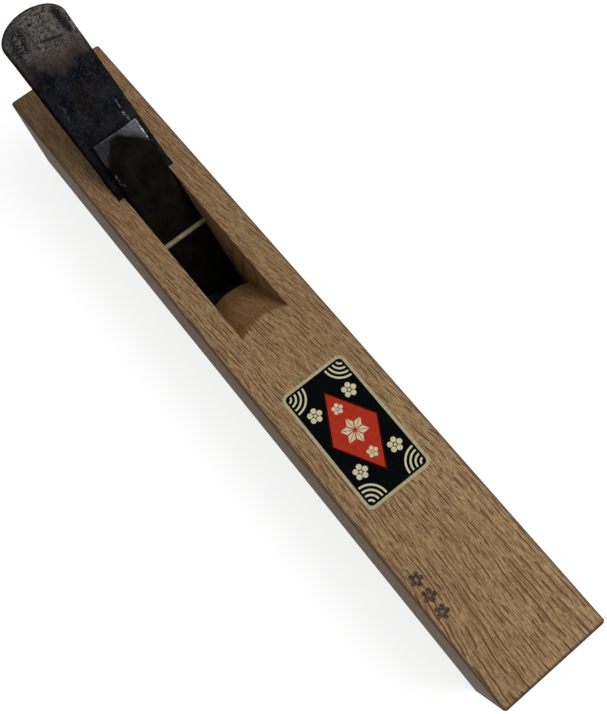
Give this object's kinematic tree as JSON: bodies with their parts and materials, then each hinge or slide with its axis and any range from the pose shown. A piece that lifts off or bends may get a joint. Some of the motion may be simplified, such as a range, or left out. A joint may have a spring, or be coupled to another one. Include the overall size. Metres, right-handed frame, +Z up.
{
  "type": "japanese hand plane",
  "caption": "Narrow Japanese hand plane: long oak stock with a slanting slot, wedge-shaped forged blade, chipbreaker, cross pin and a plain paper label.",
  "frame": {"origin": "centre of the sole, on the sole's plane", "axes": "+X along the stock to the toe, the end away from the blade's head; +Y to the side that the pin is driven from; +Z up, square to the sole"},
  "size_m": [0.2, 0.03, 0.0623],
  "materials": {
    "white_oak": "planed Japanese white oak, bare, darkened by handling",
    "forge_scaled_iron": "blue-black forge scale, worn to brown grey at the head",
    "blackened_iron": "matt oil-blackened iron",
    "ground_steel": "ground and honed hard steel",
    "drawn_steel": "plain drawn steel rod, slightly tarnished",
    "printed_paper": "thin printed paper, pale border round a dark field"
  },
  "bodies": {
    "dai": {"dai": "white_oak", "chipbreaker_pin": "drawn_steel", "paper_label": "printed_paper"},
    "blade": {"blade_body": "forge_scaled_iron", "blade_edge_steel": "ground_steel"},
    "chipbreaker": {"chipbreaker_body": "blackened_iron", "chipbreaker_edge_steel": "ground_steel"}
  },
  "joints": [
    {"name": "blade_slide", "type": "slide", "parent": "dai", "child": "blade", "axis": [-0.749, 0, 0.6626], "range_m": [-0.0006, 0.05]},
    {"name": "chipbreaker_slide", "type": "slide", "parent": "blade", "child": "chipbreaker", "axis": [-0.7432, 0, 0.669], "range_m": [-0.0003, 0.045]}
  ]
}
